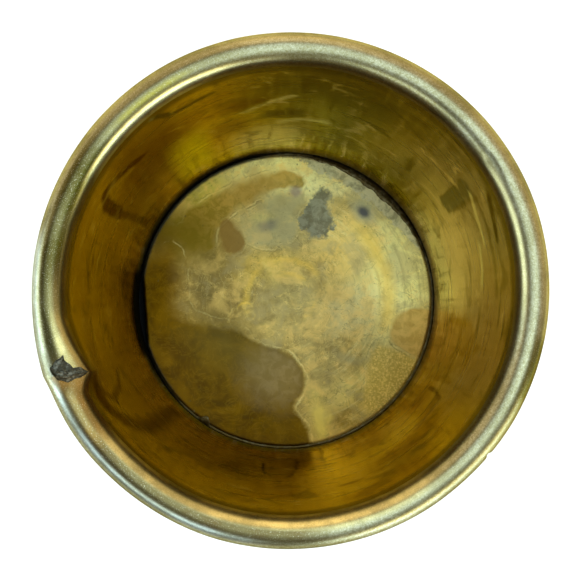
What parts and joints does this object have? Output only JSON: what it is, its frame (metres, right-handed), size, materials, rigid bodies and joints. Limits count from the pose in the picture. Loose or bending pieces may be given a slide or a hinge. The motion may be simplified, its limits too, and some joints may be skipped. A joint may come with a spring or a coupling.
{
  "type": "pen cup",
  "caption": "Straight round brass pen cup with a rolled, wired rim that is crushed and split at one spot, and a floor disc soldered in just above its base.",
  "frame": {"origin": "centre of the base, on the surface that the cup stands on", "axes": "+Z along the cup's axis, up towards the open mouth; the crushed spot of the rim points to -X and a little to -Y, at 202 degrees from +X towards +Y"},
  "size_m": [0.084, 0.084, 0.1],
  "materials": {
    "wall_brass": "old unlacquered sheet brass, polished inside and dull brown-olive patina in places, rim worn and pitted",
    "floor_brass": "stained and spotted sheet brass with fine circular polishing marks",
    "solder": "dull grey soft solder, rough and lumpy",
    "wire_iron": "dark drawn iron wire"
  },
  "bodies": {
    "root": {"cup_wall": "wall_brass", "rim_wire": "wire_iron", "rim_solder": "solder", "floor_disc": "floor_brass", "floor_solder": "solder"}
  },
  "joints": []
}
